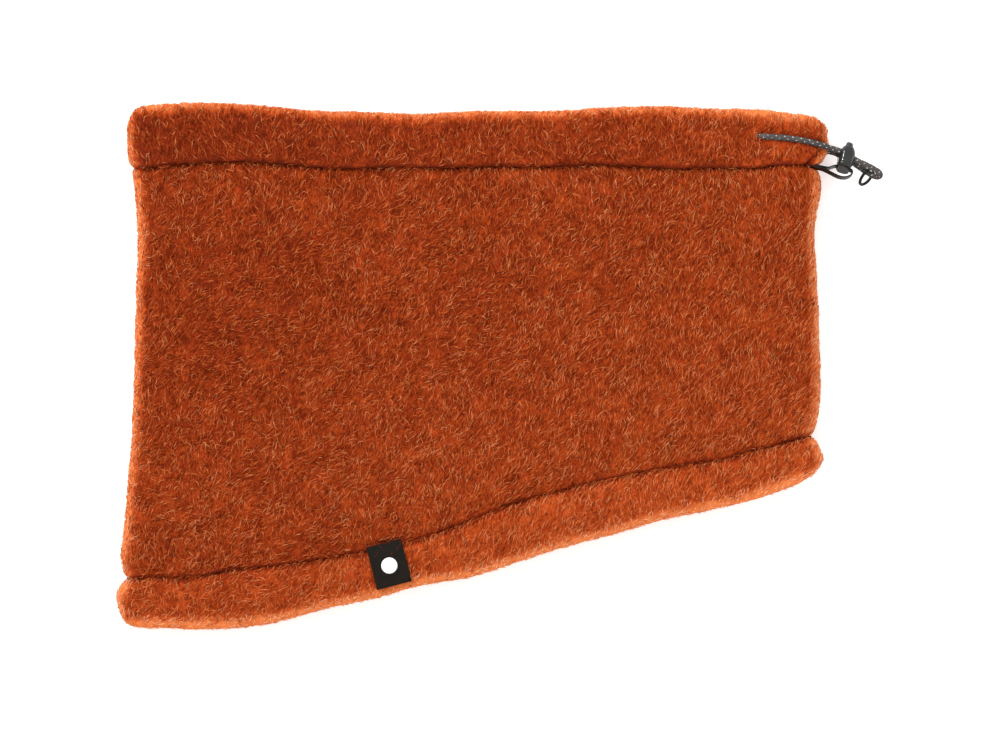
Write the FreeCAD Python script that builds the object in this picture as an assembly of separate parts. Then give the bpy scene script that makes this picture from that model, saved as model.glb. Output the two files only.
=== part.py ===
"""Fleece neck gaiter with a drawcord collar, lying flat. Millimetres.

Frame: +Z up from the surface it lies on, +X towards the cord lock, +Y towards the collar.
The origin is the middle of the flat underside of the fleece body.
"""
import FreeCAD, Part
import math
import os

from FreeCAD import Vector as V

# Fleece: heights above the surface, and the half widths of the flattened tube
HEM_HIGH = 19.0            # a hem's two double walls, lying flat
HEM_WALL = 6.8             # one double wall of a hem
BODY_HIGH = 17.6           # the body's two single walls, lying flat
SHELL_WALL = 4.4           # high pile fleece
LINING_GAP = 0.3
LINING_WALL = 1.0          # thin brushed lining
TOP_LEFT, TOP_RIGHT = -135.5, 137.4        # the body's folds at the collar seam
FOOT_LEFT, FOOT_RIGHT = -141.4, 138.8      # the body's folds at the foot of the sides
HEM_LEFT, HEM_RIGHT = -138.4, 142.4        # the collar hem's folds
FOOT_HEM_LEFT, FOOT_HEM_RIGHT = -142.4, 140.2

# Seams and rims, seen from above
COLLAR_SEAM_Y = 79.0
COLLAR_RIM = [V(-129, 103.4, 0), V(0, 101.8, 0), V(128, 101.2, 0)]
HEM_SEAM = [V(-150, -86.5, 0), V(-105, -84.0, 0), V(-75, -79.9, 0), V(-45, -75.0, 0), V(-25, -70.6, 0),
            V(0, -62.0, 0), V(25, -53.0, 0), V(60, -44.9, 0), V(100, -37.6, 0), V(150, -25.0, 0)]
FOOT_RIM = [V(-129, -104.6, 0), V(-100, -105.0, 0), V(-50, -95.8, 0), V(0, -84.8, 0),
            V(50, -70.0, 0), V(100, -57.0, 0), V(130, -47.4, 0)]
FOOT_LEFT_SIDE = [V(-141.0, -87.0, 0), V(-142.4, -96.0, 0), V(-129, -104.6, 0)]
FOOT_RIGHT_SIDE = [V(130, -47.4, 0), V(140.2, -40.0, 0), V(136.4, -28.4, 0)]
COLLAR_LEFT_SIDE = [V(-129, 103.4, 0), V(-138.4, 94.0, 0), V(-136.4, 79.0, 0)]
COLLAR_RIGHT_SIDE = [V(136.4, 79.0, 0), V(142.2, 88.0, 0), V(128, 101.2, 0)]
TRENCH_HALF = 0.8          # the furrow that the stitching pulls in along a seam
TRENCH_DEEP = 2.2
THREAD_DEEP = 1.3          # top of the thread below the fleece
THREAD_HALF = 0.45
SEAM_THREAD_R = 0.45       # the thread of the side seam
NOTCH_X, NOTCH_R = 141.0, 5.2              # dimple at the side seam, where the tether leaves

# Drawcord
CORD_R = 1.2
TUNNEL_R = 1.7
FURROW_R = 1.8
TUNNEL_Y = 91.6
TUNNEL_UP, TUNNEL_DOWN = 15.6, 3.4         # the tunnel in the front and in the back wall
TUNNEL_END_X = 98.0
FRONT_ROUTE = [V(118.4, 90.9, 17.8), V(127.2, 90.1, 17.9), V(134.2, 88.9, 16.9),
               V(139.4, 87.7, 14.2), V(143.6, 86.4, 11.3)]
BACK_ROUTE = [V(118.4, 90.9, 1.35), V(127.2, 90.0, 1.3), V(134.2, 88.7, 2.2),
              V(139.4, 87.0, 4.6), V(143.5, 85.4, 7.2)]
BUTTONHOLE_X = 113.6

# Cord lock: the cords cross it at CROSSING, which is also its own origin
CROSSING = V(149.4, 83.3, 9.5)
LOCK_ROLL = 30.0                           # the button end dips below the bar end
PLUNGER_PLAN = V(0.28, 0.96, 0)            # the plunger's way, seen from above
CORD_WAY = V(0.870, -0.493, 0)             # the cords' way through the lock
STRAND_HALF = 1.25                         # half the distance between the two strands in the lock
BORE_R = 1.42
TRAVEL = 1.6                               # the button's stroke

# Tail: (along the cords, away from the lock's middle) for the upper strand, up to the fold
TAIL_START = 3.2
TAIL_SIDE = [(-TAIL_START, 1.25), (5.0, 1.25), (8.1, 2.0), (10.9, 2.2)]
FOLD_CORNER = 14.5                         # where the upper strand starts to fold back
FOLD_RUN = 2.5
LOOP_AT = 11.2                             # the pull loop's place along the tail
LOOP_WIRE_R = 0.45
LOOP_SLACK = 0.7
LOOP_HALF_WIDE = 2.8
LOOP_HANG = V(-0.435, -0.768, -0.469)      # the way the loop lies, out from under the tail
LOOP_LEAN = 52.0                           # degrees between the loop's plane and the strand in it
LOOP_LONG = 8.0

# Label
LABEL_WIDE, LABEL_LONG, LABEL_THICK = 14.2, 17.8, 0.7
LABEL_HINGE = V(-35.6, -70.4, 18.6)
LABEL_TURN = 14.6                          # degrees, as the seam runs there
LABEL_LIFT = 0.7                           # the label's underside above its hinge line
MARK_R, MARK_THICK, MARK_DOWN = 3.2, 0.12, 9.6


def unit(v):
    return V(v).multiply(1.0 / v.Length)


LOCK_TURN = math.radians(LOCK_ROLL)
LOCK_U = unit(PLUNGER_PLAN * math.cos(LOCK_TURN) - V(0, 0, math.sin(LOCK_TURN)))
LOCK_V = unit(V(PLUNGER_PLAN.y, -PLUNGER_PLAN.x, 0))
LOCK_W = LOCK_V.cross(LOCK_U)
CORD_T = unit(CORD_WAY)
STACK = unit(LOCK_W - CORD_T * LOCK_W.dot(CORD_T))     # from the lower strand to the upper


def in_lock(v, u, w):
    """A point given across, along and over the lock, in the part's frame."""
    return CROSSING + LOCK_V * v + LOCK_U * u + LOCK_W * w


def in_tail(along, over, aside=0.0):
    """A point given along the tail, over its middle and aside from its plane."""
    return CROSSING + CORD_T * along + STACK * over + CORD_T.cross(STACK) * aside


# ---- general shapes ----

def rounded_path(points, report=None):
    """Straight runs joined by tangent arcs, each as large as its two runs allow."""
    edges, start, radii = [], points[0], []
    for before, corner, after in zip(points, points[1:], points[2:]):
        back, on = before - corner, after - corner
        shorter = min(back.Length, on.Length)
        half_turn = (math.pi - back.getAngle(on)) / 2
        cut = 0.45 * shorter
        radius = cut / math.tan(half_turn)
        radii.append(round(radius, 1))
        into, out = corner + unit(back) * cut, corner + unit(on) * cut
        bisector = unit(unit(back) + unit(on))
        middle = corner + bisector * (radius / math.cos(half_turn) - radius)
        edges.append(Part.LineSegment(start, into).toShape())
        edges.append(Part.Arc(into, middle, out).toShape())
        start = out
    edges.append(Part.LineSegment(start, points[-1]).toShape())
    if report:
        print(report, "arc radii", radii)
    return edges


def tube(edges, radius, report=None):
    """A round solid along edges that join end to end without corners."""
    wire = Part.Wire(edges)
    first = edges[0]
    way = first.tangentAt(first.FirstParameter)
    ring = Part.Wire([Part.makeCircle(radius, first.valueAt(first.FirstParameter), way)])
    solid = wire.makePipeShell([ring], True, True)
    if report:
        swept = math.pi * radius ** 2 * wire.Length
        print(report, "length", round(wire.Length, 1), "volume / swept", round(solid.Volume / swept, 4))
    return solid


def free_cord(points, title):
    return tube(rounded_path(points, title), CORD_R, title)


def flat_tube(top, foot, low, high, inset=0.0):
    """A solid bar, round at its left and right edges: the outside of a tube lying flat.

    top and foot are (left, right, y) at its two ends.
    """
    low, high = low + inset, high - inset
    radius = (high - low) / 2
    halves = []
    for side, sign in ((0, -1), (1, 1)):
        x, y = top[side] - sign * inset, top[2]
        turn = x - sign * radius
        inner = -sign * 30
        outline = [Part.LineSegment(V(inner, y, low), V(turn, y, low)).toShape(),
                   Part.Arc(V(turn, y, low), V(x, y, low + radius), V(turn, y, high)).toShape(),
                   Part.LineSegment(V(turn, y, high), V(inner, y, high)).toShape(),
                   Part.LineSegment(V(inner, y, high), V(inner, y, low)).toShape()]
        run = V(foot[side] - top[side], foot[2] - top[2], 0)
        halves.append(Part.Face(Part.Wire(outline)).extrude(run))
    return halves[0].fuse(halves[1]).removeSplitter()


def spline(points):
    curve = Part.BSplineCurve()
    curve.interpolate(points)
    return curve.toShape()


def slab(edges, low=-5.0, high=40.0):
    """The space above and below a closed outline in the plan."""
    face = Part.Face(Part.Wire(Part.__sortEdges__(edges)))
    face.translate(V(0, 0, low))
    return face.extrude(V(0, 0, high - low))


def band(curve_points, above, below):
    """The space between two copies of a seam line, moved up and down in the plan."""
    upper = spline([p + V(0, above, 0) for p in curve_points])
    lower = spline([p - V(0, below, 0) for p in curve_points])
    ends = [Part.LineSegment(upper.Vertexes[i].Point, lower.Vertexes[i].Point).toShape() for i in (0, 1)]
    return slab([upper, lower] + ends)


def straight_band(y_low, y_high):
    return Part.makeBox(320, y_high - y_low, 45, V(-160, y_low, -5))


def block(origin, across, along, up, sizes):
    """A box with one corner at origin and its edges along three directions."""
    corners = [origin, origin + across * sizes[0], origin + across * sizes[0] + along * sizes[1],
               origin + along * sizes[1], origin]
    return Part.Face(Part.makePolygon(corners)).extrude(up * sizes[2])


# ---- the fleece tube ----

BODY_TOP = (TOP_LEFT, TOP_RIGHT, COLLAR_SEAM_Y + 8)
BODY_FOOT = (FOOT_LEFT, FOOT_RIGHT, -118.0)
HEM_TOP = (HEM_LEFT, HEM_RIGHT, COLLAR_SEAM_Y + 32)
HEM_FOOT = (HEM_LEFT, HEM_RIGHT, COLLAR_SEAM_Y - 8)
FOOT_HEM_TOP = (FOOT_HEM_LEFT, FOOT_HEM_RIGHT, -10.0)
FOOT_HEM_FOOT = (FOOT_HEM_LEFT, FOOT_HEM_RIGHT, -118.0)


def body_plan():
    """The body between its two seams, in the plan."""
    foot = spline(HEM_SEAM)
    left, right = HEM_SEAM[0], HEM_SEAM[-1]
    top_left, top_right = V(left.x, COLLAR_SEAM_Y, 0), V(right.x, COLLAR_SEAM_Y, 0)
    sides = [Part.LineSegment(left, top_left).toShape(), Part.LineSegment(top_left, top_right).toShape(),
             Part.LineSegment(top_right, right).toShape()]
    return slab([foot] + sides)


def body_bar(inset):
    return flat_tube(BODY_TOP, BODY_FOOT, 0, BODY_HIGH, inset)


def body_ring(outer_inset, inner_inset):
    """The body's tube between two depths below its outside."""
    return body_bar(outer_inset).cut(body_bar(inner_inset))


def collar_trench():
    across_seam = straight_band(COLLAR_SEAM_Y - TRENCH_HALF, COLLAR_SEAM_Y + TRENCH_HALF)
    return body_and_hem_skin().common(across_seam)


def foot_trench():
    return body_and_hem_skin().common(band(HEM_SEAM, TRENCH_HALF, TRENCH_HALF))


def body_and_hem_skin():
    """Everything less deep than the bottom of a seam's furrow."""
    return Part.makeBox(320, 260, 40, V(-160, -130, -10)).cut(body_bar(TRENCH_DEEP))


def notch():
    return Part.makeCylinder(NOTCH_R, 50, V(NOTCH_X, COLLAR_SEAM_Y - 0.1, -10))


def shell_body():
    shell = body_ring(0, SHELL_WALL).common(body_plan())
    shell = shell.cut(collar_trench()).cut(foot_trench()).cut(notch())
    return shell.cut(side_seam(SEAM_THREAD_R + 0.1, 90.0, -60.0))


def lining_tube():
    outer = SHELL_WALL + LINING_GAP
    lining = body_ring(outer, outer + LINING_WALL).common(body_plan())
    return lining.cut(side_seam(SEAM_THREAD_R + 0.1, 90.0, -60.0))


def hem_ring(top, foot, outline):
    outer = flat_tube(top, foot, 0, HEM_HIGH)
    ring = outer.cut(flat_tube(top, foot, 0, HEM_HIGH, HEM_WALL))
    return ring.common(slab(outline))


def top_hem():
    outline = [Part.Arc(*COLLAR_RIM).toShape(), Part.Arc(*COLLAR_LEFT_SIDE).toShape(),
               Part.LineSegment(COLLAR_LEFT_SIDE[-1], COLLAR_RIGHT_SIDE[0]).toShape(),
               Part.Arc(*COLLAR_RIGHT_SIDE).toShape()]
    hem = hem_ring(HEM_TOP, HEM_FOOT, outline)
    hem = hem.cut(tube(hidden_path(), TUNNEL_R))
    for route in (front_points(), back_points()):
        hem = hem.cut(tube(rounded_path(route), FURROW_R))
    for height in (HEM_HIGH, 0.0):
        hem = hem.cut(buttonhole_recess(height))
    return hem.cut(collar_trench()).cut(notch())


def seam_part():
    """The stretch of the foot seam between the foot hem's two sides."""
    inner = [p for p in HEM_SEAM if abs(p.x) < 120]
    return spline([FOOT_LEFT_SIDE[0]] + inner + [FOOT_RIGHT_SIDE[-1]])


def bottom_hem():
    outline = [seam_part(), Part.Arc(*FOOT_LEFT_SIDE).toShape(), spline(FOOT_RIM),
               Part.Arc(*FOOT_RIGHT_SIDE).toShape()]
    hem = hem_ring(FOOT_HEM_TOP, FOOT_HEM_FOOT, outline)
    return hem.cut(body_plan()).cut(foot_trench())


def collar_stitching():
    ring = body_ring(THREAD_DEEP, TRENCH_DEEP)
    ring = ring.common(straight_band(COLLAR_SEAM_Y - THREAD_HALF, COLLAR_SEAM_Y + THREAD_HALF))
    return ring.cut(notch()).cut(tether_knot(0.2))


def foot_stitching():
    return body_ring(THREAD_DEEP, TRENCH_DEEP).common(band(HEM_SEAM, THREAD_HALF, THREAD_HALF))


def side_seam(radius, top=72.0, foot=-22.0):
    """Along the inside of the right fold, where thread closes the fleece into a tube."""
    slope = (FOOT_RIGHT - TOP_RIGHT) / (BODY_FOOT[2] - BODY_TOP[2])
    ends = [V(TOP_RIGHT - SHELL_WALL + slope * (y - BODY_TOP[2]), y, BODY_HIGH / 2) for y in (top, foot)]
    return tube([Part.LineSegment(*ends).toShape()], radius)


# ---- the drawcord ----

def front_points():
    first = V(TUNNEL_END_X, TUNNEL_Y, TUNNEL_UP)
    return [(first + FRONT_ROUTE[0]) * 0.5] + FRONT_ROUTE


def back_points():
    first = V(TUNNEL_END_X, TUNNEL_Y, TUNNEL_DOWN)
    return [(first + BACK_ROUTE[0]) * 0.5] + BACK_ROUTE


def hidden_path():
    """From the front exit, along the front wall, round the left fold, and back along the other wall."""
    turn_x = HEM_LEFT + HEM_HIGH / 2
    reach = (TUNNEL_UP - TUNNEL_DOWN) / 2
    up, down = V(turn_x, TUNNEL_Y, TUNNEL_UP), V(turn_x, TUNNEL_Y, TUNNEL_DOWN)
    end_up, end_down = V(TUNNEL_END_X, TUNNEL_Y, TUNNEL_UP), V(TUNNEL_END_X, TUNNEL_Y, TUNNEL_DOWN)
    front = rounded_path([front_points()[0], end_up, up])
    fold = [Part.Arc(up, V(turn_x - reach, TUNNEL_Y, HEM_HIGH / 2), down).toShape()]
    back = rounded_path([down, end_down, back_points()[0]])
    return front + fold + back


def tail_path():
    upper = [in_tail(a, b) for a, b in TAIL_SIDE]
    lower = [in_tail(a, -b) for a, b in TAIL_SIDE]
    half_wide = FOLD_RUN * math.sin(math.radians(60))
    fold = [in_tail(FOLD_CORNER, half_wide), in_tail(FOLD_CORNER + FOLD_RUN / 2, 0),
            in_tail(FOLD_CORNER, -half_wide)]
    return upper + fold + lower[::-1]


def buttonhole_recess(height):
    low = HEM_HIGH - 0.5 if height > 0 else 0.0
    return Part.makeBox(8.2, 6.0, 0.5, V(BUTTONHOLE_X - 4.1, TUNNEL_Y - 3.4, low))


def buttonhole_ring(height):
    """A ring of thread round the slit that the cord leaves by."""
    low = HEM_HIGH - 0.5 if height > 0 else 0.0
    outer = Part.makeBox(8.0, 5.8, 0.5, V(BUTTONHOLE_X - 4.0, TUNNEL_Y - 3.3, low))
    route = front_points() if height > 0 else back_points()
    return outer.cut(tube(rounded_path(route), FURROW_R))


def anchor_bartack():
    """Thread wrapped round the cord's two sewn ends, in the tunnel by the left fold."""
    start = V(-126.0, TUNNEL_Y, TUNNEL_UP)
    sleeve = Part.makeCylinder(TUNNEL_R - 0.05, 5.0, start, V(1, 0, 0))
    return sleeve.cut(Part.makeCylinder(CORD_R, 7.0, start - V(1, 0, 0), V(1, 0, 0)))


# ---- the cord lock ----

def oval(u, half_v, half_w):
    """A rounded outline across the lock at a height along it."""
    corner = min(half_v, half_w) * 0.72
    points = []
    for sv, sw in ((1, 1), (-1, 1), (-1, -1), (1, -1)):
        centre = (sv * (half_v - corner), sw * (half_w - corner))
        points.append((centre, sv, sw))
    edges, arcs = [], []
    for (cv, cw), sv, sw in points:
        diagonal = corner * math.sqrt(0.5)
        along_w = in_lock(cv + sv * corner, u, cw)
        along_v = in_lock(cv, u, cw + sw * corner)
        middle = in_lock(cv + sv * diagonal, u, cw + sw * diagonal)
        first, last = (along_w, along_v) if sv * sw > 0 else (along_v, along_w)
        arcs.append((first, middle, last))
    for index, (first, middle, last) in enumerate(arcs):
        edges.append(Part.Arc(first, middle, last).toShape())
        edges.append(Part.LineSegment(last, arcs[(index + 1) % 4][0]).toShape())
    return Part.Wire(edges)


def cord_slot(radius, stretch=0.0):
    """The way of both strands through the lock, made longer along the plunger's travel."""
    far = 9.0
    shapes = []
    for over in (-STRAND_HALF, STRAND_HALF):
        shapes.append(Part.makeCylinder(radius, 2 * far, in_tail(-far, over), CORD_T))
    side = CORD_T.cross(STACK)
    half = STRAND_HALF
    low = in_tail(-far, -half, -radius)
    shapes.append(block(low, STACK, side, CORD_T, (2 * half, 2 * radius, 2 * far)))
    if stretch:
        reach = half + radius
        start = in_tail(-far, -reach, 0) - LOCK_U * radius
        shapes.append(block(start, STACK, LOCK_U, CORD_T, (2 * reach, 2 * radius + stretch, 2 * far)))
    slot = shapes[0]
    for shape in shapes[1:]:
        slot = slot.fuse(shape)
    return slot


HOUSING_SECTIONS = [(-6.2, 2.35, 3.1), (-5.6, 2.7, 3.6), (-3.5, 2.95, 3.9), (-0.5, 3.2, 4.05),
                    (1.4, 3.0, 4.0), (2.5, 2.5, 3.85), (3.1, 2.15, 3.7)]
BAR_TOP, SLOT_TOP = -5.2, -4.1             # the slot that the tether goes through
CAVITY_LOW = -3.7
SHANK_LOW, SHANK_TOP = -1.95, 4.1
SHANK_V, SHANK_W = 1.5, 3.1
SPRING_R, SPRING_WIRE_R = 1.12, 0.15
SPRING_TURNS, SPRING_POINTS = 2.5, 8       # turns, and points in each
BUTTON_SECTIONS = [(4.1, 1.5, 3.1), (5.2, 1.42, 2.8), (5.75, 1.2, 2.4), (6.0, 0.8, 1.8)]


def lock_housing():
    """A moulded case, open at the top for the plunger, with a bar for the tether at its foot."""
    body = Part.makeLoft([oval(*s) for s in HOUSING_SECTIONS], True, False)
    cavity = Part.makeLoft([oval(CAVITY_LOW, SHANK_V + 0.1, SHANK_W + 0.1),
                            oval(SHANK_TOP, SHANK_V + 0.1, SHANK_W + 0.1)], True, True)
    body = body.cut(cavity).cut(cord_slot(BORE_R))
    slot = block(in_lock(-5, BAR_TOP, -2.9), LOCK_V, LOCK_U, LOCK_W, (10, SLOT_TOP - BAR_TOP, 4.4))
    return body.cut(slot)


def lock_plunger():
    """A shank with a window for the cords, under a domed button."""
    shank = Part.makeLoft([oval(SHANK_LOW, SHANK_V, SHANK_W), oval(SHANK_TOP, SHANK_V, SHANK_W)], True, True)
    dome = Part.makeLoft([oval(*s) for s in BUTTON_SECTIONS], True, False)
    window = cord_slot(BORE_R + 0.05, TRAVEL)
    return shank.cut(window).fuse(dome).removeSplitter()


def lock_spring():
    """Round wire wound between the cavity's floor and the shank."""
    low, high = CAVITY_LOW + SPRING_WIRE_R + 0.04, SHANK_LOW - SPRING_WIRE_R - 0.04
    last = int(SPRING_TURNS * SPRING_POINTS)
    points = []
    for index in range(last + 1):
        angle = 2 * math.pi * index / SPRING_POINTS
        u = low + (high - low) * index / last
        points.append(in_lock(SPRING_R * math.cos(angle), u, SPRING_R * math.sin(angle)))
    return tube(rounded_path(points), SPRING_WIRE_R, "spring")


# ---- the tether ----

TETHER_THICK, TETHER_WIDE, TETHER_LIFT = 0.55, 2.4, -1.3
TETHER_KNOT, TETHER_KNOT_SIZE = V(135.4, 79.0, 12.6), (1.1, 1.1, 2.6)
TETHER_ROUTE = [(-11.2, -8.4), (-8.8, -8.0), (-6.3, -8.3), (-3.4, -9.1), (-0.4, -9.7), (2.2, -8.9),
                (3.9, -7.1), (3.9, -5.6), (3.2, -4.65), (-2.4, -4.65), (-4.2, -5.5), (-5.6, -7.0),
                (-8.2, -7.25), (-10.9, -7.7)]


def tether_tape():
    """A loop of flat tape: out of the seam, round the lock's bar and back."""
    low = TETHER_LIFT - TETHER_WIDE / 2
    edges = rounded_path([in_lock(v, u, low) for v, u in TETHER_ROUTE], "tether")
    path = Part.Wire(edges)
    start, way = edges[0].valueAt(edges[0].FirstParameter), edges[0].tangentAt(edges[0].FirstParameter)
    across = unit(way.cross(LOCK_W))
    half = TETHER_THICK / 2
    corners = [start - across * half, start + across * half,
               start + across * half + LOCK_W * TETHER_WIDE, start - across * half + LOCK_W * TETHER_WIDE]
    profile = Part.makePolygon(corners + corners[:1])
    return path.makePipeShell([profile], True, True)


def tether_knot(margin=0.0):
    """The bar tack that sews the tape's ends into the side seam."""
    size = [length + 2 * margin for length in TETHER_KNOT_SIZE]
    return Part.makeBox(*size, TETHER_KNOT - V(*size) * 0.5)


# ---- the pull loop and the label ----

def loop_axes():
    """The pull loop's long way, and its short way, which leans across the lower strand."""
    top = in_tail(LOOP_AT, -TAIL_SIDE[-1][1])
    hang = unit(LOOP_HANG - CORD_T * LOOP_HANG.dot(CORD_T))
    lean = math.radians(LOOP_LEAN)
    return top, hang, unit(CORD_T * math.cos(lean) + CORD_T.cross(hang) * math.sin(lean))


def pull_loop():
    centre, hang, side = loop_axes()
    high = centre - hang * (CORD_R + LOOP_WIRE_R + LOOP_SLACK)
    half = LOOP_HALF_WIDE
    first, last = high + hang * half, high + hang * (LOOP_LONG - half)
    edges = [Part.Arc(first - side * half, high, first + side * half).toShape(),
             Part.LineSegment(first + side * half, last + side * half).toShape(),
             Part.Arc(last + side * half, last + hang * half, last - side * half).toShape(),
             Part.LineSegment(last - side * half, first - side * half).toShape()]
    way = edges[1].tangentAt(edges[1].FirstParameter)
    ring = Part.Wire([Part.makeCircle(LOOP_WIRE_R, first + side * half, way)])
    return Part.Wire(edges[1:] + edges[:1]).makePipeShell([ring], True, True)


def label_axes():
    turn = math.radians(LABEL_TURN)
    return V(math.cos(turn), math.sin(turn), 0), V(math.sin(turn), -math.cos(turn), 0)


def woven_label():
    across, down = label_axes()
    corner = LABEL_HINGE - across * (LABEL_WIDE / 2) + V(0, 0, LABEL_LIFT)
    return block(corner, across, down, V(0, 0, 1), (LABEL_WIDE, LABEL_LONG, LABEL_THICK))


def label_mark():
    across, down = label_axes()
    centre = LABEL_HINGE + down * MARK_DOWN + V(0, 0, LABEL_LIFT + LABEL_THICK)
    return Part.makeCylinder(MARK_R, MARK_THICK, centre)


def label_stitching():
    """The thread that holds the label's folded top edge to the fleece."""
    across, down = label_axes()
    corner = LABEL_HINGE - across * (LABEL_WIDE / 2 - 0.5) - down * 0.9
    corner.z = BODY_HIGH
    return block(corner, across, down, V(0, 0, 1), (LABEL_WIDE - 1.0, 0.7, 0.7))


PIECES = {
    "shell_body": shell_body,
    "lining_tube": lining_tube,
    "top_hem": top_hem,
    "bottom_hem": bottom_hem,
    "collar_seam_stitching": collar_stitching,
    "foot_seam_stitching": foot_stitching,
    "side_seam_stitching": lambda: side_seam(SEAM_THREAD_R),
    "front_buttonhole": lambda: buttonhole_ring(HEM_HIGH),
    "back_buttonhole": lambda: buttonhole_ring(0.0),
    "drawcord_in_hem": lambda: tube(hidden_path(), CORD_R, "cord in hem"),
    "cord_anchor_bartack": anchor_bartack,
    "drawcord_front_strand": lambda: free_cord(front_points(), "front strand"),
    "drawcord_back_strand": lambda: free_cord(back_points(), "back strand"),
    "drawcord_tail": lambda: free_cord(tail_path(), "tail"),
    "lock_housing": lock_housing,
    "lock_plunger": lock_plunger,
    "lock_spring": lock_spring,
    "tether_tape": tether_tape,
    "tether_bartack": tether_knot,
    "pull_loop": pull_loop,
    "woven_label": woven_label,
    "label_mark": label_mark,
    "label_stitching": label_stitching,
}

os.makedirs("parts", exist_ok=True)
for name, make in PIECES.items():
    shape = make()
    box = shape.BoundBox
    print("%-24s solids %d valid %s volume %.1f z %.2f..%.2f x %.1f..%.1f y %.1f..%.1f" % (
        name, len(shape.Solids), shape.isValid(), shape.Volume, box.ZMin, box.ZMax,
        box.XMin, box.XMax, box.YMin, box.YMax))
    shape.exportStep("parts/%s.step" % name)
print("plunger's way", LOCK_U, "cords' way", CORD_T, "loop hinge", loop_axes()[0])
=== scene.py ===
"""Looks of the high pile fleece neck gaiter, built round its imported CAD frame.

Shapes are worked out in millimetres, in the frame's axes, and turned into metres as each mesh is made.
"""
import math

import bpy
import numpy as np
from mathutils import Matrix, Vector
from mathutils.bvhtree import BVHTree


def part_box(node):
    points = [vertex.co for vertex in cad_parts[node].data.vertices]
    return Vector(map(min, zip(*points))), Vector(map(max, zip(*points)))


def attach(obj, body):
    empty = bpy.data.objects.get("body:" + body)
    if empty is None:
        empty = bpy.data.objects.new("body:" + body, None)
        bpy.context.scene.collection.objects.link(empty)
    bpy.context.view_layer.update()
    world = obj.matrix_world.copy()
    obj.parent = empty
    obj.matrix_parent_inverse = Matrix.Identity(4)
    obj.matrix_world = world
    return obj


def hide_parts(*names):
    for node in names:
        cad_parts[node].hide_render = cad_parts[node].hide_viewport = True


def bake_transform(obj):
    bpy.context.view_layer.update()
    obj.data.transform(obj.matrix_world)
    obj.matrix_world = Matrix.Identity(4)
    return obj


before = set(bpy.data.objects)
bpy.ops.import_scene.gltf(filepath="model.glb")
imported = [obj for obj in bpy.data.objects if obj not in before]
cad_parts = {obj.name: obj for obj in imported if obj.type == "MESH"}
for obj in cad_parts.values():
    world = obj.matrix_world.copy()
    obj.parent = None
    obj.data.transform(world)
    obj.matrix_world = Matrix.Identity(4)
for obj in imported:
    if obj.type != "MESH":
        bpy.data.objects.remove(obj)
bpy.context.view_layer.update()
MM = 0.001
SEED = 41
UP = np.array([0, 0, 1.0])


def box_mm(node):
    low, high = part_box(node)
    return np.array(low) / MM, np.array(high) / MM


HEM_HIGH = box_mm("top_hem")[1][2]
BODY_HIGH = box_mm("shell_body")[1][2]

# ---- camera

LENS, SENSOR = 125.0, 36.0
VIEW_WIDE = 0.400
VIEW_MIDDLE = (0.0108, 0.0)
VIEW_HIGH = 0.55 * HEM_HIGH * MM      # the height at which the picture is VIEW_WIDE across


def make_camera():
    """Straight above the gaiter, which lies flat."""
    data = bpy.data.cameras.new("camera")
    data.lens, data.sensor_width = LENS, SENSOR
    camera = bpy.data.objects.new("camera", data)
    camera.location = (*VIEW_MIDDLE, VIEW_HIGH + VIEW_WIDE * LENS / SENSOR)
    bpy.context.scene.collection.objects.link(camera)
    bpy.context.scene.camera = camera


make_camera()

# ---- general helpers


def srgb(r, g, b):
    """A colour given in display values, as the shader wants it."""
    return tuple((c / 255 / 12.92) if c <= 10 else ((c / 255 + 0.055) / 1.055) ** 2.4 for c in (r, g, b))


def unit(v):
    v = np.asarray(v, float)
    return v / np.maximum(np.linalg.norm(v, axis=-1, keepdims=True), 1e-9)


def smoothstep(low, high, x):
    t = np.clip((x - low) / (high - low), 0, 1)
    return t * t * (3 - 2 * t)


def smooth_line(points):
    """A function through (place, value) points, with no corners."""
    at, value = np.array(sorted(points), float).T
    slope = np.gradient(value, at)

    def line(x):
        x = np.clip(x, at[0], at[-1])
        i = np.clip(np.searchsorted(at, x) - 1, 0, len(at) - 2)
        run = at[i + 1] - at[i]
        t = (x - at[i]) / run
        return ((1 + 2 * t) * (1 - t) ** 2 * value[i] + t * t * (3 - 2 * t) * value[i + 1]
                + run * (t * (1 - t) ** 2 * slope[i] - t * t * (1 - t) * slope[i + 1]))
    return line


def noise(points, size, seed):
    """Smooth values from -1 to 1 that change over about size millimetres."""
    table = np.random.default_rng(seed).uniform(-1, 1, 4096)
    spot = np.asarray(points, float) / size
    cell = np.floor(spot).astype(np.int64)
    part = smoothstep(0, 1, spot - cell)
    total = np.zeros(len(spot))
    for corner in np.ndindex(2, 2, 2):
        index = cell + corner
        key = (index[:, 0] * 73856093) ^ (index[:, 1] * 19349663) ^ (index[:, 2] * 83492791)
        total += np.prod(np.where(corner, part, 1 - part), axis=1) * table[key & 4095]
    return total


def make_mesh(name, points, faces, materials, smooth=True):
    """An object from points in millimetres."""
    data = bpy.data.meshes.new(name)
    data.from_pydata((np.asarray(points) * MM).tolist(), [], faces)
    for material in materials:
        data.materials.append(material)
    data.polygons.foreach_set("use_smooth", [smooth] * len(data.polygons))
    data.update()
    piece = bpy.data.objects.new(name, data)
    bpy.context.scene.collection.objects.link(piece)
    return piece


def read_vectors(items, name):
    values = np.zeros(len(items) * 3)
    items.foreach_get(name, values)
    return values.reshape(-1, 3)


def mesh_points(piece):
    return read_vectors(piece.data.vertices, "co") / MM


def mesh_normals(piece):
    return read_vectors(piece.data.vertex_normals, "vector")


def set_points(piece, points):
    piece.data.vertices.foreach_set("co", (points * MM).ravel())
    piece.data.update()


def apply_modifiers(piece):
    """The piece's mesh as its modifiers leave it."""
    evaluated = piece.evaluated_get(bpy.context.evaluated_depsgraph_get())
    data = bpy.data.meshes.new_from_object(evaluated)
    piece.modifiers.clear()
    piece.data = data


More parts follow.
